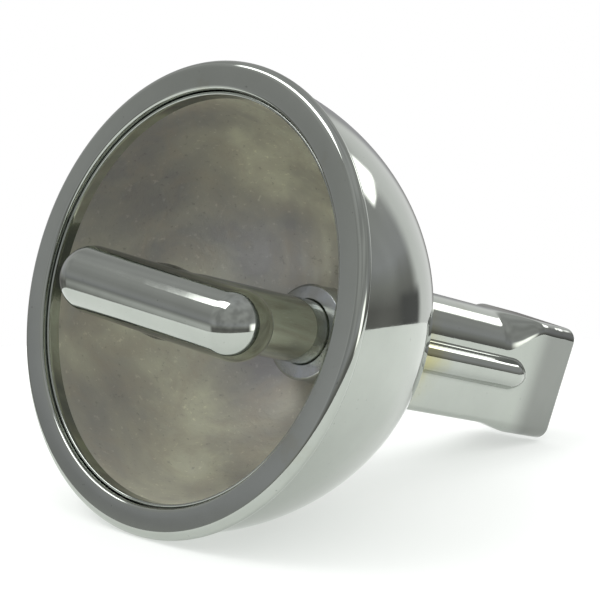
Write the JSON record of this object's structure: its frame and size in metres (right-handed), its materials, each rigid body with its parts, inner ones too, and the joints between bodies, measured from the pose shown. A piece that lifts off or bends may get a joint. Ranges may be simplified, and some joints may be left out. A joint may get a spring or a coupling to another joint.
{
  "type": "guarded hand pull",
  "caption": "Chrome T-grip hand pull inside a funnel-shaped bell guard, on a squared neck; the grip draws a sprung rod.",
  "frame": {"origin": "centre of the four mounting holes, in the mounting face at the end of the neck", "axes": "+Y from the bell's mouth to the mounting face, +Z the neck's tall direction, +X along the grip's crossbar towards the side rib"},
  "size_m": [0.12, 0.1671, 0.12],
  "materials": {
    "polished_chrome": "mirror chrome plate",
    "dull_plate": "dull mottled unpolished plate",
    "satin_plate": "satin plate",
    "plain_steel": "bright zinc-plated steel",
    "spring_steel": "oiled spring steel",
    "bronze": "sintered bronze",
    "black_rubber": "matt black rubber"
  },
  "bodies": {
    "housing": {"rim_bezel": "polished_chrome", "bell_shell": "polished_chrome", "bell_liner": "dull_plate", "floor_collar": "satin_plate", "bell_dowel_pins": "plain_steel", "seat_gasket": "black_rubber", "front_bush": "bronze", "stop_bumper": "black_rubber", "spring_seat_washer": "plain_steel", "return_spring": "spring_steel", "neck_body": "polished_chrome", "rear_plate": "plain_steel", "rear_bush": "bronze", "retaining_ring": "spring_steel"},
    "grip": {"t_grip": "polished_chrome", "grip_lock_pin": "plain_steel", "pull_rod": "plain_steel", "guide_carrier": "bronze", "guide_pin": "plain_steel", "lock_washer": "spring_steel", "rod_nut": "plain_steel"}
  },
  "joints": [
    {"name": "grip_pull", "type": "slide", "parent": "housing", "child": "grip", "axis": [0, -1, 0], "range_m": [0, 0.01], "stiffness_N_per_m": 500, "springref_m": -0.012, "deforming": ["return_spring"]}
  ]
}
